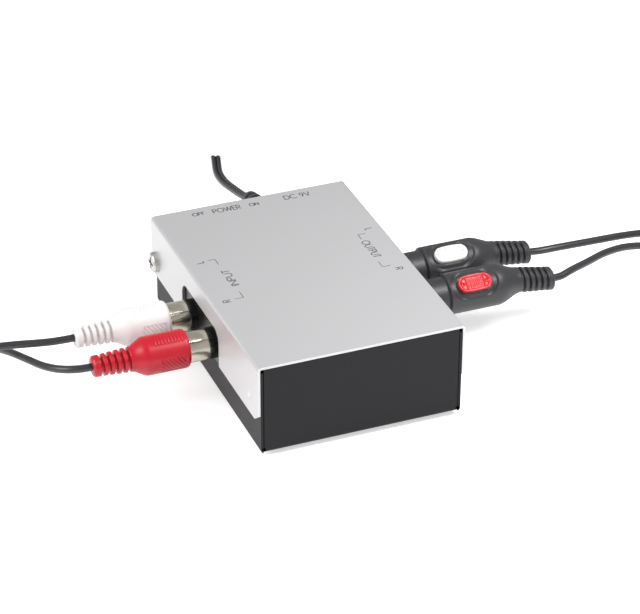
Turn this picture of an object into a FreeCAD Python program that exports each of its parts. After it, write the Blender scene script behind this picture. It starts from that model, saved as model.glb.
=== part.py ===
"""Phono preamp: a small sheet-metal box with plugged-in stereo leads and a power lead.

Millimetres. +Z is up, the front (plain black wall) faces -Y, inputs are on -X and outputs on +X.
The origin is under the middle of the box, on the surface that its rubber feet stand on.
"""
import FreeCAD, Part
import math
import os

V = FreeCAD.Vector
os.makedirs("parts", exist_ok=True)

# Case
case_width = 66.0
case_depth = 96.0
case_height = 30.0
sheet = 0.8
bend_radius = 1.2
foot_height = 1.5
foot_radius = 4.0
foot_inset = 9.0
cover_gap = 0.1
cover_overhang = 1.9
flange_height = 19.1
flange_chamfer = (3.0, 2.3)
corner_gap = 0.25
relief_radius = 0.65
dimple_place = (-40.9, 16.9)
dimple_radius = 1.2
dimple_depth = 0.45

case_bottom = foot_height
case_top = case_bottom + case_height
flange_bottom = case_top - flange_height
front = -case_depth / 2
back = case_depth / 2
back_wall = back - cover_overhang
wall_face = case_width / 2 - sheet - cover_gap
wall_inside = wall_face - sheet
floor_top = case_bottom + sheet

# Cover screws, one on each side near the back
screw_place = (43.4, 17.6)
screw_radius = 1.45
screw_head_radius = 3.3
screw_head_height = 1.9
screw_length = 6.0
screw_clearance = 0.15

# Circuit board and what holds it
board_half = (29.0, 42.0)
board_thickness = 1.6
standoff_height = 3.0
standoff_radius = 2.4
standoff_place = (25.0, 37.5)
board_screw_radius = 1.2
board_bottom = floor_top + standoff_height
board_top = board_bottom + board_thickness
lead_hole_radius = 0.6
lead_radius = 0.45
lead_below = 1.2

# Phono jacks, two on each side
jack_height = 15.0 + case_bottom
jack_pitch = 17.7
input_middle = 2.05
output_middle = 2.05
jack_sleeve_radius = 4.15
jack_sleeve_wall = 0.5
jack_sleeve_reach = 9.4
jack_contact_bore = 1.75
jack_contact_wall = 0.5
contact_fit = 0.05
jack_insulator_recess = 0.6
jack_block_depth = 11.0
jack_block_half = 15.0
jack_block_top = jack_height + 7.0
jack_nose_low = jack_height - 5.2
jack_boss_radius = 4.9
jack_boss_reach = 2.2
notch_half = 16.5
notch_top = 22.7 + case_bottom
notch_corner = 4.0
wall_opening_clearance = 0.2

# Phono plugs, measured outward from the side wall's face
shell_rim = 2.6
shell_radius = 4.85
shell_wall = 0.6
shell_root = 14.0
shell_slots = 4
shell_slot_width = 0.5
plug_pin_radius = 1.6
plug_pin_tip = -1.6
grip_floor = jack_sleeve_reach + 0.4
grip_fit = 0.05
input_grip = {"front": 8.7, "collar": 6.1, "step": 9.5, "radius": 6.1, "shoulder": 21.6, "neck": 26.9,
              "end": 38.4, "neck_radius": 3.85, "end_radius": 3.3, "grooves": 5, "sag": 0.0}
output_grip = {"front": 5.0, "collar": 5.75, "step": 12.0, "radius": 6.6, "shoulder": 30.3, "neck": 37.8,
               "end": 49.6, "neck_radius": 4.0, "end_radius": 3.75, "grooves": 5, "sag": 9.5}
relief_collar = 0.6
groove_depth = 1.1
insert_middle = 21.0
insert_length = 11.0
insert_width = 5.4
insert_rolls = {"white_output": 33.0, "red_output": 40.0}
insert_depth = 1.3
insert_proud = 0.35
insert_fit = 0.05

# Power switch on the back wall
switch_middle = -9.0
switch_travel = 4.0
knob_size = (4.0, 3.6)
knob_reach = 1.7
switch_height = board_top + 4.9
switch_half = 7.0
switch_half_height = 4.4
switch_depth = 7.0
switch_wall = 0.5
switch_clearance = 0.3
carriage_half = 4.0

# Power socket and plug
socket_middle = 14.0
socket_height = 10.1 + case_bottom
socket_half_width = 4.5
socket_half_height = 4.6
socket_depth = 12.0
socket_nose_radius = 4.3
socket_bore = 3.15
socket_bore_depth = 10.4
socket_pin_radius = 1.0
barrel_radius = 2.75
barrel_bore = 1.15
barrel_length = 9.5
power_grip_radius = 4.8
power_grip_length = 23.0
power_neck_radius = 3.3
power_end_radius = 2.95
power_droop = 16.7
power_relief_reach = 14.3

# Cords
cord_radius = 1.2
lead_pitch = 3.4
lead_coil_radius = 17.5
lead_half_turns = 5
layer_pitch = 2.95
layers = 4
power_pitch = 3.8
power_coil_radius = 23.0
power_half_turns = 6
tail_points = (10.0, 19.0, 25.0)

# Mains adapter at the far end of the power lead
adapter_low = (68.0, 114.0, 0.0)
adapter_size = (42.0, 40.0, 27.0)
adapter_round = 3.0
adapter_entry = 78.0
adapter_relief = 8.0
adapter_pin_radius = 2.0
adapter_pin_length = 19.0
adapter_pin_pitch = 19.0


def box(x0, x1, y0, y1, z0, z1):
    return Part.makeBox(x1 - x0, y1 - y0, z1 - z0, V(x0, y0, z0))


def rod(start, axis, radius, length):
    return Part.makeCylinder(radius, length, V(*start), V(*axis))


def tube(start, axis, outer, inner, length):
    return rod(start, axis, outer, length).cut(rod(start, axis, inner, length))


def export(name, *solids):
    """One file for each sub-part; several solids make a group of separate ones."""
    shape = solids[0] if len(solids) == 1 else Part.makeCompound(list(solids))
    shape.exportStep("parts/" + name + ".step")


def polygon(points):
    return Part.Face(Part.makePolygon([V(*p) for p in points] + [V(*points[0])]))


def turned(outline):
    """A solid of revolution about +X from (x, radius) points, closed along the axis."""
    points = [(outline[0][0], 0, 0)] + [(x, r, 0) for x, r in outline] + [(outline[-1][0], 0, 0)]
    return polygon(points).revolve(V(0, 0, 0), V(1, 0, 0), 360)


def angle_of(direction):
    return math.degrees(math.atan2(direction[1], direction[0]))


def placed(shape, origin, direction):
    """Turn a shape made along +X so that it runs along a level direction from the origin."""
    copy = shape.copy()
    copy.rotate(V(0, 0, 0), V(0, 0, 1), angle_of(direction))
    copy.translate(V(*origin))
    return copy


def channel(width, height, radius, thickness, length, start):
    """A folded U of sheet, open upwards, running along +Y from start; its floor is at Z 0."""
    outer = box(-width / 2, width / 2, start, start + length, 0, height)
    inner = box(-width / 2 + thickness, width / 2 - thickness, start, start + length, thickness,
                height)
    long_edges = [e for e in outer.Edges if is_long(e, length, 0.0)]
    outer = outer.makeFillet(radius, long_edges)
    inner_edges = [e for e in inner.Edges if is_long(e, length, thickness)]
    return outer.cut(inner.makeFillet(radius - thickness, inner_edges))


def is_long(edge, length, z):
    ends = [v.Point for v in edge.Vertexes]
    return abs(edge.Length - length) < 1e-6 and all(abs(p.z - z) < 1e-6 for p in ends)


def sides(function):
    """The same feature on both sides: function(sign) for -X and +X."""
    return [function(-1), function(1)]


# Case


def screw_hole(sign, radius):
    y, z = screw_place
    return rod((sign * (wall_inside - 3), y, z), (sign, 0, 0), radius, 12)


def dimple(sign, radius_extra):
    """A ball pressed into the side flange, near its front, that clicks into the base's wall."""
    y, z = dimple_place[0], dimple_place[1] + case_bottom
    ball = (dimple_radius ** 2 + dimple_depth ** 2) / (2 * dimple_depth)
    centre = case_width / 2 - dimple_depth + ball
    return Part.makeSphere(ball + radius_extra, V(sign * centre, y, z))


def jack_notch(sign):
    """The opening in the side flange that clears both jacks; it runs out at the flange's foot."""
    middle = input_middle if sign < 0 else output_middle
    x = sign * case_width / 2
    block = box(x - 2, x + 2, middle - notch_half, middle + notch_half, flange_bottom - 1, notch_top)
    corners = [e for e in block.Edges if abs(e.Length - 4) < 1e-6
               and all(abs(v.Point.z - notch_top) < 1e-6 for v in e.Vertexes)]
    return block.makeFillet(notch_corner, corners)


def flange_corner(sign):
    along, up = flange_chamfer
    x = sign * case_width / 2
    points = [(x - 2, front - 1, flange_bottom - 1), (x - 2, front + along + along / up, flange_bottom - 1),
              (x - 2, front - 1, flange_bottom + up + up / along)]
    return polygon(points).extrude(V(4, 0, 0))


def top_cover():
    cover = channel(case_width, flange_height, bend_radius, sheet, case_depth, front)
    cover = cover.mirror(V(0, 0, 0), V(0, 0, 1))
    cover.translate(V(0, 0, case_top))
    bumps = sides(lambda s: dimple(s, sheet).common(
        rod((s * (case_width / 2 - 2), dimple_place[0], dimple_place[1] + case_bottom), (s, 0, 0),
            dimple_radius * 1.5, 2)))
    cover = cover.fuse(bumps)
    cuts = sides(jack_notch) + sides(flange_corner)
    cuts += sides(lambda s: screw_hole(s, screw_radius + screw_clearance))
    cuts += sides(lambda s: dimple(s, 0))
    return cover.cut(cuts).removeSplitter()


def wall_cut(sign, middle):
    """The square opening in the base's side wall that the jack block's nose fills."""
    c = wall_opening_clearance
    return box(sign * (wall_face - sheet / 2) - 2, sign * (wall_face - sheet / 2) + 2,
               middle - jack_block_half - c, middle + jack_block_half + c,
               jack_nose_low - c, jack_block_top + c)


def end_wall(y_face, y_inside):
    """A front or back wall with its bend, between the side walls."""
    half = wall_inside - corner_gap
    thickness = abs(y_face - y_inside)
    inward = 1 if y_inside > y_face else -1
    outer = box(-half, half, *sorted((y_face, y_face + 5 * inward)), case_bottom,
                case_top - sheet - cover_gap)
    inner = box(-half, half, *sorted((y_inside, y_inside + 6 * inward)), case_bottom + thickness,
                case_top)
    outer = outer.makeFillet(bend_radius, [e for e in outer.Edges if bottom_edge(e, half, y_face)])
    inner = inner.makeFillet(bend_radius - sheet, [e for e in inner.Edges
                             if bottom_edge(e, half, y_inside, case_bottom + thickness)])
    return outer.cut(inner)


def bottom_edge(edge, half, y, z=case_bottom):
    return abs(edge.Length - 2 * half) < 1e-6 and all(
        abs(v.Point.y - y) < 1e-6 and abs(v.Point.z - z) < 1e-6 for v in edge.Vertexes)


def base_tray():
    length = back_wall - front
    tray = channel(2 * wall_face, case_height - sheet - bend_radius, bend_radius, sheet, length, front)
    tray.translate(V(0, 0, case_bottom))
    half = wall_inside
    trims = [box(-half, half, front - 1, front + bend_radius, 0, case_top),
             box(-half, half, back_wall - bend_radius, back_wall + 1, 0, case_top)]
    reliefs = [rod((s * (wall_inside - corner_gap / 2), y - 2, case_bottom + bend_radius), (0, 1, 0),
                   relief_radius, 4) for s in (-1, 1) for y in (front, back_wall)]
    tray = tray.cut(trims)
    tray = tray.fuse([end_wall(front, front + sheet), end_wall(back_wall, back_wall - sheet)])
    slot_half = knob_size[0] / 2 + switch_travel / 2 + switch_clearance
    slot_rise = knob_size[1] / 2 + switch_clearance
    cuts = reliefs + [wall_cut(-1, input_middle), wall_cut(1, output_middle),
                      rod((socket_middle, back_wall - 3, socket_height), (0, 1, 0),
                          socket_nose_radius + wall_opening_clearance, 6),
                      box(switch_middle - slot_half, switch_middle + slot_half, back_wall - 3,
                          back_wall + 3, switch_height - slot_rise, switch_height + slot_rise)]
    cuts += sides(lambda s: screw_hole(s, screw_radius + screw_clearance))
    cuts += sides(lambda s: rod((s * (wall_inside - 3), dimple_place[0],
                                 dimple_place[1] + case_bottom), (s, 0, 0), dimple_radius + 0.6, 6))
    return tray.cut(cuts).removeSplitter()


def cover_screw(sign):
    """A pan-head cross-recess screw, built along +X with its head's underside at 0."""
    head = rod((0, 0, 0), (1, 0, 0), screw_head_radius, screw_head_height)
    rim = [e for e in head.Edges if abs(e.BoundBox.XMin - screw_head_height) < 1e-6
           and e.Closed and e.Length > 1]
    head = head.makeFillet(screw_head_height * 0.45, rim)
    arm, width = screw_head_radius * 0.62, 0.45
    recess = [box(screw_head_height - 1.0, screw_head_height + 1, -a, a, -b, b)
              for a, b in ((arm, width), (width, arm))]
    shank = rod((-screw_length, 0, 0), (1, 0, 0), screw_radius, screw_length)
    screw = head.cut(recess).fuse(shank).removeSplitter()
    y, z = screw_place
    return placed(screw, (sign * case_width / 2, y, z), (sign, 0))


def foot(x, y):
    pad = rod((x, y, 0), (0, 0, 1), foot_radius, foot_height)
    return pad.makeFillet(0.4, [e for e in pad.Edges if e.BoundBox.ZMax < 1e-6 and e.Length > 1])


def corner_places(x, y):
    return [(sx * x, sy * y) for sx in (-1, 1) for sy in (-1, 1)]


# Circuit board

board_leads = []


def leads(points, top, radius=lead_radius):
    """Solder legs from a height down through the board; the board gets a hole for each."""
    board_leads.extend(points)
    foot_z = board_bottom - lead_below
    return [rod((x, y, foot_z), (0, 0, 1), radius, top - foot_z) for x, y in points]


def circuit_board():
    board = box(-board_half[0], board_half[0], -board_half[1], board_half[1], board_bottom, board_top)
    upright = [e for e in board.Edges if abs(e.Length - board_thickness) < 1e-6]
    board = board.makeFillet(1.5, upright)
    holes = [rod((x, y, board_bottom - 1), (0, 0, 1), lead_hole_radius, board_thickness + 2)
             for x, y in board_leads]
    holes += [rod((x, y, board_bottom - 1), (0, 0, 1), board_screw_radius + 0.2, board_thickness + 2)
              for x, y in corner_places(*standoff_place)]
    return board.cut(holes)


def standoff(x, y):
    hexagon = [(x + standoff_radius * math.cos(math.radians(a)),
                y + standoff_radius * math.sin(math.radians(a)), floor_top) for a in range(0, 360, 60)]
    post = polygon(hexagon).extrude(V(0, 0, standoff_height))
    return post.cut(rod((x, y, floor_top), (0, 0, 1), board_screw_radius + 0.02, standoff_height))


def board_screw(x, y):
    head = rod((x, y, board_top), (0, 0, 1), 2.2, 1.5)
    head = head.makeFillet(0.5, [e for e in head.Edges if e.BoundBox.ZMin > board_top + 1.4 and e.Length > 1])
    head = head.cut(box(x - 1.3, x + 1.3, y - 0.25, y + 0.25, board_top + 0.8, board_top + 2))
    return head.fuse(rod((x, y, floor_top + 0.4), (0, 0, 1), board_screw_radius, board_top - floor_top - 0.4))


# Jacks


def jack_places():
    half = jack_pitch / 2
    return {"white_input": (-1, input_middle + half), "red_input": (-1, input_middle - half),
            "white_output": (1, output_middle + half), "red_output": (1, output_middle - half)}


def jack_block(sign, middle):
    """The moulded housing on the board; its nose fills the opening in the base's wall."""
    behind, low, high = sign * (wall_face - jack_block_depth), middle - jack_block_half, middle + jack_block_half
    body_face = sign * (wall_inside - cover_gap)
    block = box(*sorted((behind, body_face)), low, high, board_top, jack_block_top)
    nose = box(*sorted((behind, sign * wall_face)), low, high, jack_nose_low, jack_block_top)
    bosses = [rod((sign * (wall_face - 1), y, jack_height), (sign, 0, 0), jack_boss_radius,
                  1 + jack_boss_reach) for s, y in jack_places().values() if s == sign]
    block = block.fuse([nose] + bosses)
    bores = [rod((sign * (wall_face - jack_block_depth - 1), y, jack_height), (sign, 0, 0),
                 jack_sleeve_radius, jack_block_depth + jack_boss_reach + 2)
             for s, y in jack_places().values() if s == sign]
    return block.cut(bores).removeSplitter()


def jack_sleeve(sign, y):
    """The outer contact: a plated collar that starts inside the block and stands out of it."""
    start = (sign * (wall_face - jack_block_depth + 2), y, jack_height)
    length = jack_block_depth - 2 + jack_sleeve_reach
    return tube(start, (sign, 0, 0), jack_sleeve_radius, jack_sleeve_radius - jack_sleeve_wall, length)


def jack_insulator(sign, y):
    start = (sign * (wall_face - 4), y, jack_height)
    length = 4 + jack_sleeve_reach - jack_insulator_recess
    return tube(start, (sign, 0, 0), jack_sleeve_radius - jack_sleeve_wall,
                jack_contact_bore + jack_contact_wall, length)


def jack_contact(sign, y):
    """The centre contact: a slim tube through the block, with a soldered leg behind it."""
    behind = jack_block_depth + 0.6
    length = behind + jack_sleeve_reach - jack_insulator_recess - 0.6
    outer = jack_contact_bore + jack_contact_wall - contact_fit
    end = sign * (wall_face - behind)
    socket = tube((end, y, jack_height), (sign, 0, 0), outer, jack_contact_bore, length)
    plate = box(*sorted((end, end - sign * 0.5)), y - 1.5, y + 1.5, jack_height - 2.4, jack_height + 2.4)
    leg = leads([(end - sign * 0.25, y)], jack_height - 2.0, 0.3)
    return socket.fuse([plate] + leg).removeSplitter()


# Plugs


def ribbed(outline, neck, end, neck_radius, end_radius, grooves):
    """Add a strain relief to an outline: rings between grooves, and a collar at the end."""
    step = (end - neck) / (grooves + relief_collar)
    for k in range(grooves):
        x = neck + step * k
        share = (x - neck) / (end - neck)
        ring = neck_radius + (end_radius - neck_radius) * share
        outline += [(x + step * 0.12, ring - groove_depth), (x + step * 0.52, ring - groove_depth),
                    (x + step * 0.62, ring), (x + step * 0.98, ring)]
    return outline + [(end - 0.5, end_radius), (end, end_radius - 0.4)]


def plug_grip(size, sag):
    """The moulded grip and strain relief of a phono plug, along +X from the wall's face.

    The cord's weight bends the relief down by the angle sag.
    """
    radius, shoulder, neck, grip_front = size["radius"], size["shoulder"], size["neck"], size["front"]
    fall = neck - shoulder
    drop = radius - size["neck_radius"]
    outline = [(grip_front, size["collar"] - 0.5), (grip_front + 0.4, size["collar"])]
    if radius > size["collar"]:
        outline += [(size["step"], size["collar"]), (size["step"] + 0.6, radius)]
    outline += [(shoulder, radius)]
    outline += [(shoulder + fall * t, radius - drop * (1 - math.cos(math.pi * t)) / 2)
                for t in (0.2, 0.4, 0.6, 0.8, 1.0)]
    neck_radius = size["neck_radius"]
    relief = (neck, size["end"], neck_radius, size["end_radius"], size["grooves"])
    if sag:
        bent = turned(ribbed([(neck - 2.5, neck_radius - 0.5), (neck, neck_radius - 0.5)], *relief))
        bent.rotate(V(neck, 0, 0), V(0, 1, 0), sag)
        grip = turned(outline).fuse(bent).removeSplitter()
    else:
        grip = turned(ribbed(outline, *relief))
    pocket = rod((grip_front - 1, 0, 0), (1, 0, 0), shell_radius + grip_fit, shell_root - grip_front + 1)
    core = rod((grip_floor, 0, 0), (1, 0, 0), shell_radius - shell_wall - grip_fit, shell_root - grip_floor)
    pin_hole = rod((grip_floor - 1, 0, 0), (1, 0, 0), plug_pin_radius + grip_fit, shell_root - grip_floor + 1)
    return grip.cut(pocket.cut(core)).cut(pin_hole)


def plug_shell(grip_front):
    shell = tube((shell_rim, 0, 0), (1, 0, 0), shell_radius, shell_radius - shell_wall, shell_root - shell_rim)
    slots = []
    for k in range(shell_slots // 2):
        slot = box(shell_rim - 1, grip_front + 2, -shell_radius - 1, shell_radius + 1,
                   -shell_slot_width / 2, shell_slot_width / 2)
        slot.rotate(V(0, 0, 0), V(1, 0, 0), 45 + 90 * k)
        slots.append(slot)
    return shell.cut(slots)


def plug_pin():
    tip = [(plug_pin_tip, 0.5), (plug_pin_tip + 0.6, plug_pin_radius * 0.85),
           (plug_pin_tip + 1.4, plug_pin_radius), (shell_root, plug_pin_radius)]
    return turned(tip)


def stadium(length, width, depth, top):
    """A rounded oblong along X, standing on the outside of a grip with its face at height top."""
    half = (length - width) / 2
    block = box(-half, half, -width / 2, width / 2, top - depth, top)
    ends = [rod((x, 0, top - depth), (0, 0, 1), width / 2, depth) for x in (-half, half)]
    return block.fuse(ends).removeSplitter()


def output_insert():
    """The coloured marker set into the top of an output plug's grip."""
    top = output_grip["radius"] + insert_proud
    marker = stadium(insert_length, insert_width, insert_depth, top)
    marker.translate(V(insert_middle, 0, 0))
    return marker


def plug_parts(kind, roll, sag):
    """The solids of one plug; roll turns its marker about the plug's axis, sag bends its relief."""
    size = input_grip if kind == "input" else output_grip
    grip = plug_grip(size, sag)
    found = {"plug_grip": [grip], "plug_contacts": [plug_shell(size["front"]), plug_pin()]}
    if kind == "output":
        top = size["radius"] + insert_proud
        seat = stadium(insert_length + 2 * insert_fit, insert_width + 2 * insert_fit, insert_depth, top)
        seat.translate(V(insert_middle, 0, 0))
        marker = output_insert()
        for piece in (seat, marker):
            piece.rotate(V(0, 0, 0), V(1, 0, 0), roll)
        found["plug_grip"] = [grip.cut(seat)]
        found["plug_insert"] = [marker]
    return found


def cord_exit(size, sag, run):
    """A point on the cord at run beyond the relief's end, in the plug's own axes."""
    reach = size["end"] - size["neck"] + run
    a = math.radians(sag)
    return size["neck"] + reach * math.cos(a), -reach * math.sin(a)


# Cords


def three_point_arc(start, tangent, end):
    """The arc that leaves start along tangent and ends at end."""
    chord = end - start
    lean = tangent.cross(chord)
    if lean.Length < 1e-7 * chord.Length:
        return Part.LineSegment(start, end).toShape()
    normal = lean.cross(tangent).normalize()
    radius = chord.dot(chord) / (2 * chord.dot(normal))
    centre = start + normal * radius
    middle = (start + end) * 0.5 - centre
    if tangent.dot(chord) < -1e-9:
        middle = middle * -1
    return Part.Arc(start, centre + middle.normalize() * abs(radius), end).toShape()


def biarc(p0, t0, p1, t1):
    """Two tangent arcs from p0 along t0 to p1 along t1."""
    span = p1 - p0
    both = t0 + t1
    a = 2 * (1 - t0.dot(t1))
    b = 2 * span.dot(both)
    reach = (-b + math.sqrt(b * b + 4 * a * span.dot(span))) / (2 * a)
    join = (p0 + t0 * reach + p1 - t1 * reach) * 0.5
    return [three_point_arc(p0, t0, join), back_arc(join, p1, t1)]


def back_arc(start, end, tangent):
    arc = three_point_arc(end, tangent * -1, start)
    points = [arc.valueAt(arc.FirstParameter + (arc.LastParameter - arc.FirstParameter) * k)
              for k in (0, 0.5, 1)]
    return Part.Arc(points[2], points[1], points[0]).toShape()


def rounded(points):
    """Straight runs joined by tangent arcs, each as large as its two runs allow."""
    points = [V(*p) for p in points]
    edges, radii, start = [], [], points[0]
    for before, corner, after in zip(points, points[1:], points[2:]):
        into, out = corner - before, after - corner
        shorter = min(into.Length, out.Length)
        half_turn = into.getAngle(out) / 2
        cut = 0.45 * shorter
        radii.append(cut / math.tan(half_turn))
        into.normalize()
        out.normalize()
        first, last = corner - into * cut, corner + out * cut
        edges.append(Part.LineSegment(start, first).toShape())
        edges.append(three_point_arc(first, into, last))
        start = last
    edges.append(Part.LineSegment(start, points[-1]).toShape())
    return edges, radii


def swept(edges, radius):
    """A round tube along a path of tangent edges."""
    wire = Part.Wire(edges)
    first = edges[0]
    start = first.valueAt(first.FirstParameter)
    ring = Part.Wire([Part.makeCircle(radius, start, first.tangentAt(first.FirstParameter))])
    return wire.makePipeShell([ring], True, False), wire


def free_cord(name, points):
    edges, radii = rounded(points)
    shape, wire = swept(edges, cord_radius)
    section = math.pi * cord_radius ** 2
    print(name, "length %.1f" % wire.Length, "radii", ["%.1f" % r for r in radii],
          "volume against section times length %.4f" % (shape.Volume / (section * wire.Length)))
    export(name, shape)
    return wire.Length


def coil_nodes(coil):
    """Point and direction at each half turn: layers spiral in and out again, climbing at each turn-back."""
    way = -1 if coil["clockwise"] else 1
    angle, radius, z = math.radians(coil["start"]), coil["radius"], cord_radius
    nodes = [(angle, radius, z)]
    for layer in range(layers):
        inward = -1 if layer % 2 == 0 else 1
        quarters = 2 * coil["half_turns"] if layer < layers - 1 else coil["last_quarters"]
        while quarters > 0:
            step = min(2, quarters)
            quarters -= step
            angle += way * math.pi / 2 * step
            radius += inward * coil["pitch"] / 4 * step
            nodes.append((angle, radius, z))
        if layer < layers - 1:
            angle += way * math.pi
            z += layer_pitch
            nodes.append((angle, radius, z))
    cx, cy = coil["centre"]
    return [(V(cx + r * math.cos(a), cy + r * math.sin(a), h),
             V(-way * math.sin(a), way * math.cos(a), 0)) for a, r, h in nodes]


def least_gap(edges, diameter):
    """The smallest gap of a coil to itself, measured on points along its centre line."""
    points, travelled, far = [], 0.0, []
    for edge in edges:
        count = max(2, int(edge.Length / 1.5))
        span = edge.LastParameter - edge.FirstParameter
        for k in range(count):
            points.append(edge.valueAt(edge.FirstParameter + span * k / count))
            far.append(travelled + edge.Length * k / count)
        travelled += edge.Length
    least = 1e9
    for i, p in enumerate(points):
        for j in range(i + 1, len(points)):
            if far[j] - far[i] > 4 * diameter:
                least = min(least, p.distanceToPoint(points[j]))
    return least - diameter


def coil_of(name, coil):
    """A wound coil as one unbroken tube, with the tail that leaves it; returns the tail's end."""
    nodes = coil_nodes(coil)
    start, heading = nodes[0]
    edges = [Part.LineSegment(start - heading * 2 * cord_radius, start).toShape()]
    for (p0, t0), (p1, t1) in zip(nodes, nodes[1:]):
        edges += biarc(p0, t0, p1, t1)
    end, out = nodes[-1]
    tail = [tuple(end)] + [tuple(p) for p in coil["tail"](end, out)]
    tail_edges, radii = rounded(tail)
    edges += tail_edges
    shape, wire = swept(edges, cord_radius)
    section = math.pi * cord_radius ** 2
    print(name, "length %.1f" % wire.Length, "least gap %.2f" % least_gap(edges, 2 * cord_radius),
          "tail radii", ["%.1f" % r for r in radii],
          "volume against section times length %.4f" % (shape.Volume / (section * wire.Length)))
    export(name, shape)
    return V(*tail[-1]), wire.Length


def straight_tail(plug_radius):
    """From the top of a coil, on along its direction and down to the height of a plug on the floor."""
    def points(end, out):
        first, second, third = tail_points
        level = plug_radius + 0.05
        low = V(end.x, end.y, level)
        return [end + out * first, low + out * second, low + out * third]
    return points


def adapter_tail(end, out):
    """Across to the adapter and round a quarter turn into its relief."""
    entry_y = adapter_low[1] + adapter_size[1] + adapter_relief
    low = end.z - 0.9
    return [V(adapter_entry - 16, end.y, end.z), V(adapter_entry - 5.6, end.y - 6, end.z - 0.4),
            V(adapter_entry, entry_y + 8.5, low), V(adapter_entry, entry_y, low)]


leads_of_signal = {
    "white_input": {
        "straight": 3.6,
        "route": [(-79.4, 12.4, 15.9), (-88.6, 15.9, 15.2), (-98.5, 18.0, 14.7), (-108.0, 14.8, 10.0),
                  (-116.0, 9.4, 4.4), (-124.0, 7.0, 1.2)],
        "coil": {"centre": (-134.0, 24.5), "start": 270, "clockwise": True, "last_quarters": 9}},
    "red_input": {
        "straight": 2.3,
        "route": [(-75.1, -6.1, 16.3), (-77.9, -4.4, 15.8), (-80.6, -1.1, 14.8), (-83.0, 4.2, 13.3),
                  (-85.4, 12.2, 11.5), (-88.2, 21.0, 9.6), (-90.8, 30.0, 6.4),
                  (-90.6, 39.5, 3.0), (-88.0, 48.0, 1.2), (-86.5, 54.5, 1.2)],
        "coil": {"centre": (-104.0, 62.5), "start": 0, "clockwise": False, "last_quarters": 8}},
    "white_output": {
        "straight": 3.5,
        "route": [(91.4, 10.1, 13.9), (104.6, 10.4, 14.0), (117.9, 11.5, 13.1), (130.0, 13.8, 10.4),
                  (140.5, 17.8, 6.2), (149.5, 22.0, 2.6), (157.5, 24.0, 1.2)],
        "coil": {"centre": (168.0, 41.5), "start": 270, "clockwise": False, "last_quarters": 9}},
    "red_output": {
        "straight": 3.0,
        "route": [(89.5, -5.6, 13.9), (97.5, -1.3, 14.0), (106.0, 3.3, 13.5), (116.5, 6.4, 12.1),
                  (129.0, 5.8, 9.4), (142.0, 1.6, 5.6), (153.5, -3.0, 2.4), (164.5, -5.0, 1.2)],
        "coil": {"centre": (177.0, -22.5), "start": 90, "clockwise": True, "last_quarters": 10}},
}
power_route = [(14.0, 92.0, 7.1), (14.0, 101.5, 4.8), (14.0, 110.0, 2.9), (14.9, 118.7, 1.6),
               (16.8, 125.5, 1.2), (19.2, 133.0, 1.2), (18.8, 142.0, 1.2), (17.0, 151.0, 1.2)]


def signal_lead(name, place):
    """Plug, cord, coil and far plug of one single lead; the plug sits in the box's jack."""
    sign, y = place
    kind = name.split("_")[1]
    lead = leads_of_signal[name]
    size = input_grip if kind == "input" else output_grip
    for part, solids in plug_parts(kind, insert_rolls.get(name, 0.0), size["sag"]).items():
        near = [placed(s, (sign * wall_face, y, jack_height), (sign, 0)) for s in solids]
        export(name + "_" + part, *near)
    coil = dict(lead["coil"], radius=lead_coil_radius, pitch=lead_pitch, half_turns=lead_half_turns)
    coil["tail"] = straight_tail(size["radius"])
    nodes = coil_nodes(coil)
    inlet = nodes[0][0] - nodes[0][1] * 2 * cord_radius
    route = []
    for run in (0, lead["straight"]):
        reach, rise = cord_exit(size, size["sag"], run)
        route.append((sign * (wall_face + reach), y, jack_height + rise))
    route += lead["route"] + [tuple(inlet)]
    length = free_cord(name + "_cord", route)
    tip, wound = coil_of(name + "_cord_coil", coil)
    print(name, "whole cord %.0f mm" % (length + wound))
    out = nodes[-1][1]
    for part, solids in plug_parts(kind, 0.0, 0.0).items():
        far = [placed(s, tuple(tip + out * size["end"]), (-out.x, -out.y)) for s in solids]
        export(name + "_far_" + part, *far)


# Power switch


def switch_frame():
    """A folded steel shell behind the back wall, open towards the inside of the box."""
    face = back_wall - sheet
    m, h = switch_middle, switch_height
    shell = box(m - switch_half, m + switch_half, face - switch_depth, face, h - switch_half_height,
                h + switch_half_height)
    w = switch_wall
    hollow = box(m - switch_half + w, m + switch_half - w, face - switch_depth - 1, face - w,
                 h - switch_half_height + w, h + switch_half_height - w)
    slot_half = knob_size[0] / 2 + switch_travel / 2 + switch_clearance
    slot_rise = knob_size[1] / 2 + switch_clearance
    slot = box(m - slot_half, m + slot_half, face - 2, face + 1, h - slot_rise, h + slot_rise)
    return shell.cut([hollow, slot])


def switch_base():
    face = back_wall - sheet
    m, h, w = switch_middle, switch_height, switch_wall
    return box(m - switch_half + w, m + switch_half - w, face - switch_depth, face - switch_depth + 2.4,
               h - switch_half_height + w, h + switch_half_height - w)


def switch_slider():
    """Carriage and knob, at the OFF end of its travel."""
    face = back_wall - sheet
    x = switch_middle - switch_travel / 2
    h = switch_height
    top = switch_half_height - switch_wall - switch_clearance
    carriage = box(x - carriage_half, x + carriage_half, face - switch_depth + 2.7, face - switch_wall - 0.2,
                   h - top, h + top)
    half_x, half_z = knob_size[0] / 2, knob_size[1] / 2
    reach = back_wall + knob_reach
    knob = box(x - half_x, x + half_x, face - switch_wall - 0.5, reach, h - half_z, h + half_z)
    ridges = [box(x + k - 0.2, x + k + 0.2, reach - 0.35, reach + 1, h - half_z, h + half_z)
              for k in (-1.2, -0.4, 0.4, 1.2)]
    return carriage.fuse(knob.cut(ridges)).removeSplitter()


def switch_terminals():
    """Three flat terminals that start in the base and go down through the board."""
    y = back_wall - sheet - switch_depth
    blades = []
    for x in (switch_middle - 3.5, switch_middle, switch_middle + 3.5):
        arm = box(x - 0.25, x + 0.25, y - 1.2, y, switch_height - 1.0, switch_height - 0.5)
        blades.append(arm.fuse(leads([(x, y - 0.9)], switch_height - 0.5, 0.25)).removeSplitter())
    return blades


# Power socket and plug


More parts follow.
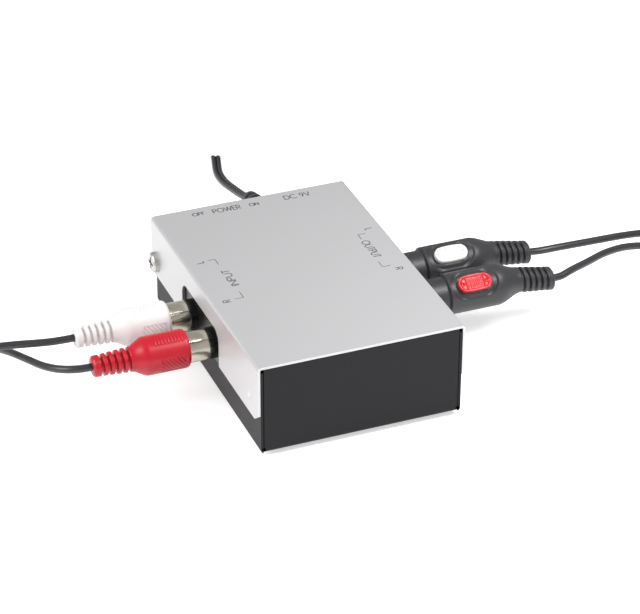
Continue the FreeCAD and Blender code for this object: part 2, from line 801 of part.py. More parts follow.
def socket_body():
    face = back_wall - sheet
    m, h = socket_middle, socket_height
    body = box(m - socket_half_width, m + socket_half_width, face - socket_depth, face, board_top,
               h + socket_half_height)
    nose = rod((m, face - 1, h), (0, 1, 0), socket_nose_radius, sheet + 1.4)
    end = face + sheet + 0.4
    bore = rod((m, end - socket_bore_depth, h), (0, 1, 0), socket_bore, socket_bore_depth)
    pin_seat = rod((m, face - socket_depth, h), (0, 1, 0), socket_pin_radius, socket_depth)
    return body.fuse(nose).removeSplitter().cut([bore, pin_seat])


def socket_pin():
    face = back_wall - sheet
    length = socket_depth - 0.2
    pin = rod((socket_middle, face - socket_depth, socket_height), (0, 1, 0), socket_pin_radius, length)
    tip = [e for e in pin.Edges if e.BoundBox.YMin > face - 0.3 and e.Length > 1]
    return pin.makeFillet(0.6, tip)


def socket_terminals():
    y = back_wall - sheet - socket_depth
    m = socket_middle
    rear = box(m - 1.5, m + 1.5, y - 0.4, y, socket_height - 2.5, socket_height + 2.5)
    rear = rear.fuse(leads([(m, y - 0.2)], socket_height - 2.4, 0.2)).removeSplitter()
    x = m + socket_half_width
    side = box(x, x + 0.4, y + 2, y + 5, board_top + 0.5, socket_height)
    side = side.fuse(leads([(x + 0.2, y + 3.5)], board_top + 0.6, 0.2)).removeSplitter()
    return [rear, side]


power_grip_start = back_wall + 0.4 + 0.3


def power_plug_grip():
    """A straight moulded grip whose strain relief bends down under the cord's weight."""
    r, neck = power_grip_radius, power_neck_radius
    length = power_grip_length
    outline = [(0, r - 1.0), (0.6, r - 0.4), (3, r), (length * 0.66, r), (length * 0.76, r - 0.35),
               (length * 0.86, r - 0.95), (length * 0.94, neck + 0.15), (length, neck)]
    grip = turned(outline)
    grip.rotate(V(0, 0, 0), V(0, 0, 1), 90)
    grip.translate(V(socket_middle, power_grip_start, socket_height))
    grip = grip.cut(rod((socket_middle, power_grip_start - 1, socket_height), (0, 1, 0),
                        barrel_radius + grip_fit, 3.0))
    start, centre, angle = relief_arc()
    pieces = []
    rings = 4
    for k in range(rings):
        share = (k + 1) / rings
        ring = neck + (power_end_radius - neck) * share
        a0, a1 = angle * (k + 0.45) / rings, angle * share
        pieces.append(bent_ring(start, centre, ring, a0, a1))
    pieces.append(bent_ring(start, centre, power_end_radius - 0.75, 0, angle))
    return grip.fuse(pieces).removeSplitter()


def relief_arc():
    """Start point, centre of bend and angle of the drooping strain relief."""
    angle = power_droop
    radius = power_relief_reach / math.sin(math.radians(angle))
    start = V(socket_middle, power_grip_start + power_grip_length, socket_height)
    return start, V(start.x, start.y, start.z - radius), angle


def bent_ring(start, centre, radius, a0, a1):
    disc = Part.Face(Part.Wire([Part.makeCircle(radius, start, V(0, 1, 0))]))
    disc.rotate(centre, V(-1, 0, 0), a0)
    return disc.revolve(centre, V(-1, 0, 0), a1 - a0)


def relief_end():
    start, centre, angle = relief_arc()
    arm = start - centre
    a = math.radians(angle)
    return V(start.x, centre.y + arm.z * math.sin(a), centre.z + arm.z * math.cos(a))


def power_barrel():
    length = barrel_length + 2.3
    return tube((socket_middle, power_grip_start + 2.0 - length, socket_height), (0, 1, 0), barrel_radius,
                barrel_bore, length)


def power_lead():
    export("power_plug_grip", power_plug_grip())
    export("power_plug_barrel", power_barrel())
    coil = {"centre": (40.0, 162.0), "start": 180, "clockwise": True, "last_quarters": 11,
            "radius": power_coil_radius, "pitch": power_pitch, "half_turns": power_half_turns,
            "tail": adapter_tail}
    nodes = coil_nodes(coil)
    inlet = nodes[0][0] - nodes[0][1] * 2 * cord_radius
    length = free_cord("power_cord", [tuple(relief_end())] + power_route + [tuple(inlet)])
    tip, wound = coil_of("power_cord_coil", coil)
    print("power lead whole cord %.0f mm" % (length + wound))
    export("adapter_case", adapter_case(tip))
    export("adapter_pins", *adapter_pins())


def adapter_case(entry):
    """The housing of a plug-in mains adapter, lying on its side, with its cord relief."""
    x, y, z = adapter_low
    dx, dy, dz = adapter_size
    case = box(x, x + dx, y, y + dy, z, z + dz)
    case = case.makeFillet(adapter_round, [e for e in case.Edges if abs(e.Length - dx) < 1e-6])
    relief = turned([(0, 2.0), (0.5, 2.4), (adapter_relief, 3.4), (adapter_relief + 3, 3.6)])
    relief.rotate(V(0, 0, 0), V(0, 0, 1), -90)
    relief.translate(entry)
    return case.fuse(relief).removeSplitter()


def adapter_pins():
    x, y, z = adapter_low
    dx, dy, dz = adapter_size
    pins = []
    for side in (-1, 1):
        start = (x + dx, y + dy / 2 + side * adapter_pin_pitch / 2, z + dz / 2)
        pin = rod(start, (1, 0, 0), adapter_pin_radius, adapter_pin_length)
        tip = [e for e in pin.Edges if e.BoundBox.XMin > x + dx + adapter_pin_length - 0.1 and e.Length > 1]
        pins.append(pin.makeFillet(0.9, tip))
    return pins


# Components on the board


def can(x, y, radius, height):
    body = rod((x, y, board_top + 0.1), (0, 0, 1), radius, height)
    body = body.makeFillet(0.4, [e for e in body.Edges if e.Length > 6])
    legs = leads([(x - radius * 0.5, y), (x + radius * 0.5, y)], board_top + 0.3, 0.3)
    return body.fuse(legs).removeSplitter()


def film_capacitor(x, y):
    body = box(x - 3.6, x + 3.6, y - 1.5, y + 1.5, board_top + 0.1, board_top + 7.0)
    body = body.makeFillet(0.5, [e for e in body.Edges if abs(e.Length - 6.9) < 1e-6])
    legs = leads([(x - 2.5, y), (x + 2.5, y)], board_top + 0.6, 0.3)
    return body.fuse(legs).removeSplitter()


def resistor(x, y):
    """A leaded resistor lying along X: two end caps, a slimmer middle and two bent legs."""
    z = board_top + 1.3
    body = turned([(-3.1, 0.9), (-2.9, 1.15), (-2.1, 1.15), (-1.8, 0.95), (1.8, 0.95), (2.1, 1.15),
                   (2.9, 1.15), (3.1, 0.9)])
    body.translate(V(x, y, z))
    wire = rod((x - 4.7, y, z), (1, 0, 0), 0.25, 9.4)
    legs = leads([(x - 4.7, y), (x + 4.7, y)], z + 0.35, 0.35)
    return body.fuse([wire] + legs).removeSplitter()


def chip_legs(x, y):
    legs = []
    for k in range(4):
        for side in (-1, 1):
            px, py = x - 3.81 + 2.54 * k, y + side * 3.81
            blade = box(px - 0.25, px + 0.25, *sorted((py, py - side * 0.6)), board_top + 1.9, board_top + 2.3)
            legs.append(blade.fuse(leads([(px, py - side * 0.2)], board_top + 2.2, 0.2)).removeSplitter())
    return legs


def components():
    cans = [can(-12, 30, 4.0, 12), can(2, 30, 4.0, 12), can(-14, -24, 3.2, 11), can(14, -24, 3.2, 11),
            can(0, -34, 3.2, 11)]
    films = [film_capacitor(x, y) for x in (-12, 12) for y in (-14, 14)]
    resistors = [resistor(x, y) for x in (-11, 11) for y in (-8, -4, 4, 8)]
    chip = box(-5, 5, -3.2, 3.2, board_top + 0.5, board_top + 3.9)
    chip = chip.cut(rod((-5, 0, board_top + 3.5), (0, 0, 1), 0.9, 1))
    export("electrolytic_capacitors", *cans)
    export("film_capacitors", *films)
    export("resistors", *resistors)
    export("op_amp_chip", chip)
    export("op_amp_legs", *chip_legs(0, 0))


# The whole product

export("top_cover", top_cover())
export("base_tray", base_tray())
export("cover_screws", *sides(cover_screw))
export("rubber_feet", *[foot(x, y) for x, y in
                        corner_places(case_width / 2 - foot_inset, case_depth / 2 - foot_inset)])
export("board_standoffs", *[standoff(x, y) for x, y in corner_places(*standoff_place)])
export("board_screws", *[board_screw(x, y) for x, y in corner_places(*standoff_place)])
export("input_jack_block", jack_block(-1, input_middle))
export("output_jack_block", jack_block(1, output_middle))
places = jack_places()
export("jack_sleeves", *[jack_sleeve(*p) for p in places.values()])
export("jack_contacts", *[jack_contact(*p) for p in places.values()])
export("jack_insulators_white", *[jack_insulator(*p) for n, p in places.items() if "white" in n])
export("jack_insulators_red", *[jack_insulator(*p) for n, p in places.items() if "red" in n])
export("power_switch_frame", switch_frame())
export("power_switch_base", switch_base())
export("power_switch_slider", switch_slider())
export("power_switch_terminals", *switch_terminals())
export("dc_socket_body", socket_body())
export("dc_socket_pin", socket_pin())
export("dc_socket_terminals", *socket_terminals())
components()
export("circuit_board", circuit_board())
for lead_name, lead_place in places.items():
    signal_lead(lead_name, lead_place)
power_lead()
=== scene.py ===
# %% [markdown]
# # A phono preamp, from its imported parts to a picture
# The object is a small folded-metal box with two phono plugs on each side and a power lead at the back.
# The CAD parts already have the right size and place. This lesson gives them their surfaces, models the
# moulded plugs and the cords in more detail, prints the small words on the lid, and sets up a plain studio.

# %% Load the frame
import math

import bmesh
import bpy
from mathutils import Matrix, Vector


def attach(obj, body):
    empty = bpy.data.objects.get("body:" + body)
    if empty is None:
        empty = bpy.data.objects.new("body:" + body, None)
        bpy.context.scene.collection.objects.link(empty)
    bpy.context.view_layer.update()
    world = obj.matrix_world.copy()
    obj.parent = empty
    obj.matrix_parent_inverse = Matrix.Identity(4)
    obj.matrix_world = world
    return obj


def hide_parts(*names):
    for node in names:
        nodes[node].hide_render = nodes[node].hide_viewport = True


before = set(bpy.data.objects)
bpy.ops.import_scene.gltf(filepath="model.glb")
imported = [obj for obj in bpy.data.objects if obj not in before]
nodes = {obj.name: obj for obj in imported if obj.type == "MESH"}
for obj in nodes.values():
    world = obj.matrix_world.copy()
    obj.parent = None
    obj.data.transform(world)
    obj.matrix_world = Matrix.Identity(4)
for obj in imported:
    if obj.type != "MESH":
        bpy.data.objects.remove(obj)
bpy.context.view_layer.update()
mm = 0.001


def add_object(name, data):
    """A new object in the scene."""
    made = bpy.data.objects.new(name, data)
    bpy.context.scene.collection.objects.link(made)
    return made


# %% [markdown]
# ## The camera
# The picture was taken with a long lens from the front left, looking down by about 31 degrees.
# A camera could be placed by eye, but the box is a true block with known sides, so its nine visible
# edges give the direction, distance and focal length. Those numbers are used here as they came out.

# %% Camera
picture_width = 640
focal_px = 2849.7
sensor_mm = 36.0
nearest_seen = 0.05
farthest_seen = 20
azimuth = math.radians(-21.82)
elevation = math.radians(31.25)
roll = math.radians(0.23)
camera_place = Vector((-274.76, -700.26, 474.5)) * mm


def camera_turn():
    """The camera's own axes in the row frame, as the columns of a matrix."""
    back = Vector((math.sin(azimuth) * math.cos(elevation), -math.cos(azimuth) * math.cos(elevation),
                   math.sin(elevation)))
    right = Vector((0, 0, 1)).cross(back).normalized()
    up = back.cross(right)
    rolled_right = right * math.cos(roll) + up * math.sin(roll)
    rolled_up = up * math.cos(roll) - right * math.sin(roll)
    return Matrix((rolled_right, rolled_up, back)).transposed()


camera = add_object("camera", bpy.data.cameras.new("camera"))
camera.data.sensor_width = sensor_mm
camera.data.lens = focal_px / picture_width * sensor_mm
camera.data.clip_start = nearest_seen
camera.data.clip_end = farthest_seen
bpy.context.scene.view_settings.view_transform = "Standard"
camera.matrix_world = Matrix.Translation(camera_place) @ camera_turn().to_4x4()
bpy.context.scene.camera = camera
print("lens %.1f mm" % camera.data.lens)

# %% [markdown]
# ## The cords' routes
# Each lead is one unbroken cord: it leaves its plug, droops to the table and ends in a neat coil with
# the plug of its far end. A simulated rope would land somewhere else on each run. A smooth curve through
# a few given points always lies the same way, and the points are those of the CAD tube.

# %% Sizes that the cords share
# All in millimetres in the row frame: the base's side wall, the jacks' middle lines, the plugs' necks
# and ends outward from that wall, and the angle by which the output plugs' reliefs hang.
wall_face = 32.1
jack_height = 16.5
jack_rows = {"white_input": 10.9, "red_input": -6.8, "white_output": 10.9, "red_output": -6.8}
grip_necks = {"input": 26.9, "output": 37.8}
grip_ends = {"input": 38.4, "output": 49.6}
relief_sags = {"input": 0.0, "output": math.radians(9.5)}
cord_diameter = 2.4
turn_points = 12
# How far a quadratic curve through twelve points a turn stays inside them, as a share of the radius.
inside_corners = 0.9665
coil_layers = 4
layer_pitch = 2.95
signal_coil = {"radius": 17.5, "pitch": 3.4, "half_turns": 5}
power_coil = {"radius": 23.0, "pitch": 3.8, "half_turns": 6}
floor_height = {"signal": 1.2, "power": 0.95}

# %% [markdown]
# ## A coil as points of the same curve
# The wound length spirals in and out again in four layers, and climbs one layer in each half turn
# where the spiral reverses. A helix modifier can't do that, so a loop puts twelve points on each turn.
# The curve passes a little inside its control points, so they stand a little further out.


# %% Coil points
def coil_points(centre, start, clockwise, last_quarters, size, low):
    """Control points along a wound coil, the place where it ends and the direction there."""
    way = -1 if clockwise else 1
    half = turn_points // 2
    quarter = turn_points // 4
    point_step = way * math.pi / half
    angle = math.radians(start)
    radius, z = size["radius"], low
    points = []

    def add(steps, radius_end, z_end):
        nonlocal angle, radius, z
        for k in range(1, steps + 1):
            share = k / steps
            a = angle + point_step * k
            r = (radius + (radius_end - radius) * share) / inside_corners
            h = z + (z_end - z) * (1 - math.cos(math.pi * share)) / 2
            points.append((centre[0] + r * math.cos(a), centre[1] + r * math.sin(a), h))
        angle += point_step * steps
        radius, z = radius_end, z_end

    for layer in range(coil_layers):
        inward = -1 if layer % 2 == 0 else 1
        last = layer == coil_layers - 1
        quarters = last_quarters if last else 2 * size["half_turns"]
        add(quarters * quarter, radius + inward * size["pitch"] / 4 * quarters, z)
        if not last:
            add(half, radius, z + layer_pitch)
    heading = (-way * math.sin(angle), way * math.cos(angle))
    x = centre[0] + radius * math.cos(angle)
    y = centre[1] + radius * math.sin(angle)
    return points, (x, y, z), heading


# %% [markdown]
# ## One curve for each cord
# A bevelled curve is the plain way to draw a round cord, and it keeps the true centre line for measuring.
# The quadratic spline's order has to be set after its points are there, or it stays a chain of
# straight runs.


# %% Cord curve
def cord_curve(name, points, radius):
    """A round cord along the points, given in millimetres.

    A curve's bounding box grows by the radius of its points. So that is the cord's own radius here, and
    the bevel is one metre, which the points' radius scales down.
    """
    data = bpy.data.curves.new(name, "CURVE")
    data.dimensions = "3D"
    spline = data.splines.new("NURBS")
    spline.points.add(len(points) - 1)
    for control, p in zip(spline.points, points):
        control.co = (p[0] * mm, p[1] * mm, p[2] * mm, 1)
        control.radius = radius * mm
    spline.order_u = 3
    spline.use_endpoint_u = True
    spline.resolution_u = 6
    data.bevel_depth = 1.0
    data.bevel_resolution = 5
    data.use_fill_caps = True
    return add_object(name, data)


def line_length(points):
    """The length of the straight runs between points, a little more than the curve's own."""
    return sum((Vector(b) - Vector(a)).length for a, b in zip(points, points[1:]))


# %% The four signal leads' routes
# For each lead: a straight run behind the relief, the points down to the table, and where and how the
# coil is wound. Then come the runs from the coil's end to the far plug, and the far plug's height.
signal_routes = {
    "white_input": {
        "straight": 3.6,
        "route": [(-79.4, 12.4, 15.9), (-88.6, 15.9, 15.2), (-98.5, 18.0, 14.7), (-108.0, 14.8, 10.0),
                  (-116.0, 9.4, 4.4), (-124.0, 7.0, 1.2)],
        "centre": (-134.0, 24.5), "start": 270, "clockwise": True, "last_quarters": 9},
    "red_input": {
        "straight": 2.3,
        "route": [(-75.1, -6.1, 16.3), (-77.9, -4.4, 15.8), (-80.6, -1.1, 14.8), (-83.0, 4.2, 13.3),
                  (-85.4, 12.2, 11.5), (-88.2, 21.0, 9.6), (-90.8, 30.0, 6.4),
                  (-90.6, 39.5, 3.0), (-88.0, 48.0, 1.2), (-86.5, 54.5, 1.2)],
        "centre": (-104.0, 62.5), "start": 0, "clockwise": False, "last_quarters": 8},
    "white_output": {
        "straight": 3.5,
        "route": [(91.4, 10.1, 14.5), (104.6, 10.4, 14.0), (117.9, 11.5, 13.1), (130.0, 13.8, 10.4),
                  (140.5, 17.8, 6.2), (149.5, 22.0, 2.6), (157.5, 24.0, 1.2)],
        "centre": (168.0, 41.5), "start": 270, "clockwise": False, "last_quarters": 9},
    "red_output": {
        "straight": 3.0,
        "route": [(89.5, -5.2, 15.0), (97.5, -1.3, 14.2), (106.0, 3.3, 13.5), (116.5, 6.4, 12.1),
                  (129.0, 5.8, 9.4), (142.0, 1.6, 5.6), (153.5, -3.0, 2.4), (164.5, -5.0, 1.2)],
        "centre": (177.0, -22.5), "start": 90, "clockwise": True, "last_quarters": 10},
}
tail_runs = (10.0, 19.0, 25.0)
far_plug_levels = {"input": 6.15, "output": 6.65}


def cord_exit(name, run):
    """A point on the cord at run beyond the bent relief of the plug in the box."""
    kind = name.split("_")[1]
    sign = -1 if kind == "input" else 1
    sag = relief_sags[kind]
    reach = grip_ends[kind] - grip_necks[kind] + run
    return (sign * (wall_face + grip_necks[kind] + reach * math.cos(sag)), jack_rows[name],
            jack_height - reach * math.sin(sag))


def signal_line(name):
    """All control points of one signal lead, the place of its far end and the direction there."""
    lead = signal_routes[name]
    kind = name.split("_")[1]
    low = floor_height["signal"]
    wound, top, heading = coil_points(lead["centre"], lead["start"], lead["clockwise"],
                                      lead["last_quarters"], signal_coil, low)
    way = -1 if lead["clockwise"] else 1
    a = math.radians(lead["start"])
    coil_start = Vector((*lead["centre"], low))
    coil_start += Vector((math.cos(a), math.sin(a), 0)) * signal_coil["radius"]
    ahead = Vector((-way * math.sin(a), way * math.cos(a), 0))
    out = Vector((*heading, 0))
    coil_end = Vector(top)
    level_end = Vector((coil_end.x, coil_end.y, far_plug_levels[kind]))
    off_coil, levelled, plug_tip = tail_runs
    tip = level_end + out * plug_tip
    points = [cord_exit(name, run) for run in (0, lead["straight"])] + lead["route"]
    points += [tuple(coil_start - ahead * cord_diameter)] + wound
    points += [tuple(coil_end + out * off_coil), tuple(level_end + out * levelled), tuple(tip)]
    return points, tip, out


# %% Draw the signal cords
cord_pieces = {}
far_places = {}
for lead_name in signal_routes:
    control_points, tip, out = signal_line(lead_name)
    piece = cord_curve(lead_name + "_cord_line", control_points, cord_diameter / 2)
    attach(piece, lead_name + "_lead")
    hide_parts(lead_name + "_cord", lead_name + "_cord_coil")
    cord_pieces[lead_name] = piece
    far_places[lead_name] = (tip, out)
    print(lead_name, "points", len(control_points), "runs %.0f mm" % line_length(control_points))

# %% [markdown]
# ## The twin power cord
# The power lead is a flat twin cord: two thin insulated wires side by side with a groove between them.
# Its cross-section is drawn as a closed figure of eight and carried along the curve. Keeping the
# profile's up side up makes the cord lie flat on the table, as such a cord does.

# %% Power cord profile and curve
strand_radius = 0.88
strand_offset = 0.80
power_route = [(14.0, 92.0, 7.1), (14.0, 101.5, 4.8), (14.0, 110.0, 2.9), (14.9, 118.7, 1.6),
               (16.8, 125.5, 0.95), (19.2, 133.0, 0.95), (18.8, 142.0, 0.95), (17.0, 151.0, 0.95)]
relief_end = (14.0, 84.26, 9.48)
power_winding = {"centre": (40.0, 162.0), "start": 180, "clockwise": True, "last_quarters": 11}
adapter_entry = (78.0, 162.0, 9.15)
# From the coil's end the cord runs along X, turns a little off it and goes straight into the adapter.
off_coil_run = 16
entry_turn = (5.6, 6, 0.4)
straight_into_adapter = 8.5
lobe_steps = 12


def twin_profile():
    """A closed figure of eight, one lobe for each wire, in strand radii, as a curve's bevel shape."""
    data = bpy.data.curves.new("twin_profile", "CURVE")
    data.dimensions = "2D"
    spline = data.splines.new("POLY")
    neck = math.acos(strand_offset / strand_radius)
    shape = []
    for side in (1, -1):
        for k in range(lobe_steps + 1):
            a = -math.pi + neck + (2 * math.pi - 2 * neck) * k / lobe_steps
            shape.append((side * (strand_offset + strand_radius * math.cos(a)),
                          side * strand_radius * math.sin(a)))
    spline.points.add(len(shape) - 1)
    for control, (x, y) in zip(spline.points, shape):
        control.co = (x / strand_radius, y / strand_radius, 0, 1)
    spline.use_cyclic_u = True
    profile = add_object("twin_profile", data)
    profile.hide_render = True
    profile.hide_viewport = True
    return profile


def power_line():
    """All control points of the power lead, from its plug's relief into the adapter."""
    low = floor_height["power"]
    centre_x, centre_y = power_winding["centre"]
    coil_start = (centre_x - power_coil["radius"], centre_y - cord_diameter, low)
    wound, top, _ = coil_points(size=power_coil, low=low, **power_winding)
    entry_x, entry_y, entry_z = adapter_entry
    turn_x, turn_y, turn_z = entry_turn
    tail = [(entry_x - off_coil_run, top[1], top[2]), (entry_x - turn_x, top[1] - turn_y, top[2] - turn_z),
            (entry_x, entry_y + straight_into_adapter, entry_z), adapter_entry]
    return [relief_end] + power_route + [coil_start] + wound + tail


power_points = power_line()
power_cord = cord_curve("power_cord_line", power_points, strand_radius)
power_cord.data.bevel_mode = "OBJECT"
power_cord.data.bevel_object = twin_profile()
power_cord.data.twist_mode = "Z_UP"
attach(power_cord, "power_lead")
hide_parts("power_cord", "power_cord_coil")
print("power cord points", len(power_points), "runs %.0f mm" % line_length(power_points))

# %% [markdown]
# ## Colours and a helper for nodes
# Colours are read off as hex values, as any paint chip would be, but the renderer works with linear
# light. One function does that step. A second small function adds any shader node with its settings
# and links, so each material below reads as a list of what it is made of.


# %% Colour and node helpers
def linear(hex_colour):
    """An sRGB hex colour as linear red, green, blue and alpha."""
    values = [int(hex_colour[k:k + 2], 16) / 255 for k in (1, 3, 5)]
    return [v / 12.92 if v <= 0.04045 else ((v + 0.055) / 1.055) ** 2.4 for v in values] + [1.0]


def add_node(tree, kind, settings=None, inputs=None):
    """Add a shader node; an input is either a value or another node's output socket."""
    made = tree.nodes.new(kind)
    for key, value in (settings or {}).items():
        setattr(made, key, value)
    for key, value in (inputs or {}).items():
        if isinstance(value, bpy.types.NodeSocket):
            tree.links.new(value, made.inputs[key])
        else:
            made.inputs[key].default_value = value
    return made


def surface(name, base, roughness, **more):
    """A new material with its principled shader, to which patterns can be linked."""
    material = bpy.data.materials.new(name)
    material.use_nodes = True
    tree = material.node_tree
    shader = tree.nodes["Principled BSDF"]
    shader.inputs["Base Color"].default_value = linear(base)
    shader.inputs["Roughness"].default_value = roughness
    for key, value in more.items():
        shader.inputs[key.replace("_", " ")].default_value = value
    return material, tree, shader


def object_space(tree):
    """Coordinates in metres that stay with the piece."""
    return add_node(tree, "ShaderNodeTexCoord").outputs["Object"]


def grain(tree, size_mm, detail=2.0, stretch=(1, 1, 1)):
    """Noise whose grains are about size_mm across, in the row frame."""
    where = add_node(tree, "ShaderNodeMapping", {}, {"Vector": object_space(tree), "Scale": stretch})
    inputs = {"Vector": where.outputs["Vector"], "Scale": 1000 / size_mm, "Detail": detail}
    return add_node(tree, "ShaderNodeTexNoise", {}, inputs).outputs["Fac"]


def bump(tree, shader, height, distance_mm, strength=1.0):
    """Let a pattern tilt the surface as if it stood distance_mm high."""
    made = add_node(tree, "ShaderNodeBump", {}, {"Height": height, "Distance": distance_mm * mm,
                                                 "Strength": strength})
    tree.links.new(made.outputs["Normal"], shader.inputs["Normal"])


def shade_range(tree, shader, factor, socket, low, high):
    """Let a pattern move one of the shader's numbers between two values."""
    made = add_node(tree, "ShaderNodeMapRange", {}, {"Value": factor, "From Min": 0.3, "From Max": 0.7,
                                                     "To Min": low, "To Max": high})
    tree.links.new(made.outputs["Result"], shader.inputs[socket])


def tint_range(tree, shader, factor, dark, light):
    """Let a pattern move the base colour between two paints."""
    # A mix node that mixes colours takes them at its inputs 6 and 7 and gives the result at output 2.
    made = add_node(tree, "ShaderNodeMix", {"data_type": "RGBA"},
                    {0: factor, 6: linear(dark), 7: linear(light)})
    tree.links.new(made.outputs[2], shader.inputs["Base Color"])


# %% [markdown]
# ## Metal surfaces
# The lid is folded steel with a sprayed silver lacquer: aluminium flakes in clear binder, which reads as
# a pale satin metal with a very fine sparkle. The base has a thin black powder coat, slightly textured.
# The plug shells are bright nickel plate, a little warm; the screws are zinc plated.


# %% Silver lacquer, black powder coat, plated metals
def silver_lacquer():
    """Aluminium flakes in clear lacquer, sprayed on the lid."""
    material, tree, shader = surface("silver_lacquer_sprayed_on_steel", "#D0D0D1", 0.42, Metallic=0.55)
    # Real flakes are about 0.03 mm; drawn at 0.25 mm so that they can show as a faint sparkle.
    flakes = grain(tree, 0.25, 1.0)
    tint_range(tree, shader, flakes, "#C6C6C8", "#D9D9DA")
    shade_range(tree, shader, flakes, "Roughness", 0.38, 0.46)
    bump(tree, shader, flakes, 0.004, 0.35)
    return material


def powder_coat():
    """Baked black powder on the base, with a very fine texture."""
    material, tree, shader = surface("black_powder_coat_on_steel", "#201E21", 0.45, Specular_IOR_Level=0.18)
    texture = grain(tree, 0.5, 3.0)
    tint_range(tree, shader, texture, "#1D1B1E", "#232124")
    bump(tree, shader, texture, 0.01, 0.4)
    return material


def plated(name, base, roughness, wear):
    """A bright metal plate with faint smudges, a little duller where it is handled."""
    material, tree, shader = surface(name, base, roughness, Metallic=1.0)
    smudge = grain(tree, 3.0, 2.0)
    tint_range(tree, shader, smudge, wear, base)
    shade_range(tree, shader, smudge, "Roughness", roughness, roughness * 1.5)
    return material


silver = silver_lacquer()
black_coat = powder_coat()
nickel = plated("nickel_plate_on_brass", "#D9D4C6", 0.16, "#C9C3B2")
zinc = plated("bright_zinc_plate_on_steel", "#D6D5D2", 0.28, "#BDBBB6")
gold = plated("thin_gold_plate_on_brass", "#D9B36A", 0.22, "#C49C52")

# %% [markdown]
# ## Plastics
# The plug grips are soft moulded PVC. The coloured ones are glossy enough for a soft highlight and let
# a little light in, which rounds off their shading. The black ones came out of a spark-eroded mould, so
# they have an even fine grain. The cords are extruded PVC with a satin skin.


# %% Soft and hard plastics
def moulded(name, base, roughness, grain_mm=0.5, depth_mm=0.01, soft=0.0, pale=None):
    """A moulded or extruded plastic: soft is how much light goes in, pale the grain's lighter shade."""
    material, tree, shader = surface(name, base, roughness, Subsurface_Weight=soft)
    shader.inputs["Subsurface Scale"].default_value = 1.0 * mm
    shader.inputs["Subsurface Radius"].default_value = (1.0, 0.6, 0.5)
    texture = grain(tree, grain_mm, 2.0)
    tint_range(tree, shader, texture, base, pale or base)
    shade_range(tree, shader, texture, "Roughness", roughness, min(1.0, roughness + 0.08))
    bump(tree, shader, texture, depth_mm, 0.6)
    return material


red_pvc = moulded("red_pvc_moulded", "#B90A1F", 0.3, 0.6, 0.01, 0.1, "#C2122A")
white_pvc = moulded("white_pvc_moulded", "#E3DFDF", 0.38, 0.6, 0.01, 0.15, "#EAE7E6")
black_pvc = moulded("black_pvc_moulded_with_fine_grain", "#2B2B2E", 0.4, 0.5, 0.04, 0.0, "#3A3A3E")
cord_pvc = moulded("black_pvc_extruded", "#2E2C30", 0.3, 0.8, 0.004, 0.0, "#38363A")
red_abs = moulded("red_abs_moulded", "#CF1F2C", 0.3, 0.8, 0.005, 0.1)
white_abs = moulded("white_abs_moulded", "#DEDEDC", 0.3, 0.8, 0.005, 0.1)
black_abs = moulded("black_abs_moulded", "#161617", 0.25, 0.5, 0.01)
foot_rubber = moulded("black_rubber_foot", "#19191A", 0.8, 0.6, 0.02)

# %% [markdown]
# ## The board and its parts
# Nothing inside the closed box shows, but the parts still get what the real ones have: green solder
# mask over woven glass, blue shrink sleeves, dipped film capacitors, beige resistors and a black chip.


# %% Inner materials
def solder_mask():
    """Green lacquer over the woven glass of a circuit board."""
    material, tree, shader = surface("green_solder_mask_on_glass_epoxy", "#1F5A33", 0.35)
    # The glass cloth under the mask has a thread every 0.5 mm.
    weave = add_node(tree, "ShaderNodeTexChecker", {}, {"Vector": object_space(tree), "Scale": 1000 / 0.5})
    tint_range(tree, shader, weave.outputs["Fac"], "#1C5230", "#246238")
    return material


inner_materials = {
    "circuit_board": solder_mask(),
    "electrolytic_capacitors": moulded("blue_shrink_sleeve", "#22305E", 0.3, 1.0, 0.004),
    "film_capacitors": moulded("red_dipped_epoxy", "#8E2417", 0.35, 0.8, 0.02),
    "resistors": moulded("beige_lacquered_ceramic", "#C9A272", 0.4, 0.6, 0.01),
    "op_amp_chip": moulded("black_epoxy_moulded", "#202022", 0.6, 0.3, 0.02),
}

# %% Give the CAD nodes their materials
node_materials = {
    "top_cover": silver, "base_tray": black_coat, "cover_screws": zinc, "rubber_feet": foot_rubber,
    "board_standoffs": zinc, "board_screws": zinc, "input_jack_block": black_abs,
    "output_jack_block": black_abs, "jack_sleeves": nickel, "jack_contacts": gold,
    "jack_insulators_white": white_abs, "jack_insulators_red": red_abs, "power_switch_frame": zinc,
    "power_switch_base": black_abs, "power_switch_slider": black_abs, "power_switch_terminals": nickel,
    "dc_socket_body": black_abs, "dc_socket_pin": nickel, "dc_socket_terminals": nickel,
    "op_amp_legs": nickel, "power_plug_barrel": nickel, "adapter_case": black_abs, "adapter_pins": nickel,
}
node_materials.update(inner_materials)
for lead_name in signal_routes:
    for end_name in ("_plug_contacts", "_far_plug_contacts"):
        node_materials[lead_name + end_name] = nickel


def paint(piece, material):
    """Give a piece one material."""
    piece.data.materials.clear()
    piece.data.materials.append(material)


for node_name, material in node_materials.items():
    paint(nodes[node_name], material)
for piece in list(cord_pieces.values()) + [power_cord]:
    paint(piece, cord_pvc)
print("painted nodes:", len(node_materials))

# %% [markdown]
# ## A moulded grip as one skin
# Each plug grip is a single soft moulding: a round body, a waist, a ribbed strain relief, and raised or
# sunken patterns for the fingers. Separate lumps stuck on a cylinder would show hard seams. So the skin
# is a fine net of points around an axis, and each feature adds a little to the local radius.


# %% A skin from a radius function
def smooth_step(low, high, value):
    """0 below low, 1 above high and a soft passage between them."""
    t = max(0.0, min(1.0, (value - low) / (high - low)))
    return t * t * (3 - 2 * t)


def band(value, low, high, edge):
    """1 between low and high, falling to 0 over the edge's width."""
    return smooth_step(low - edge, low, value) * (1 - smooth_step(high, high + edge, value))


def crest(run, pitch):
    """A wave between 0 and 1 that repeats itself every pitch."""
    return 0.5 + 0.5 * math.cos(run * 2 * math.pi / pitch)


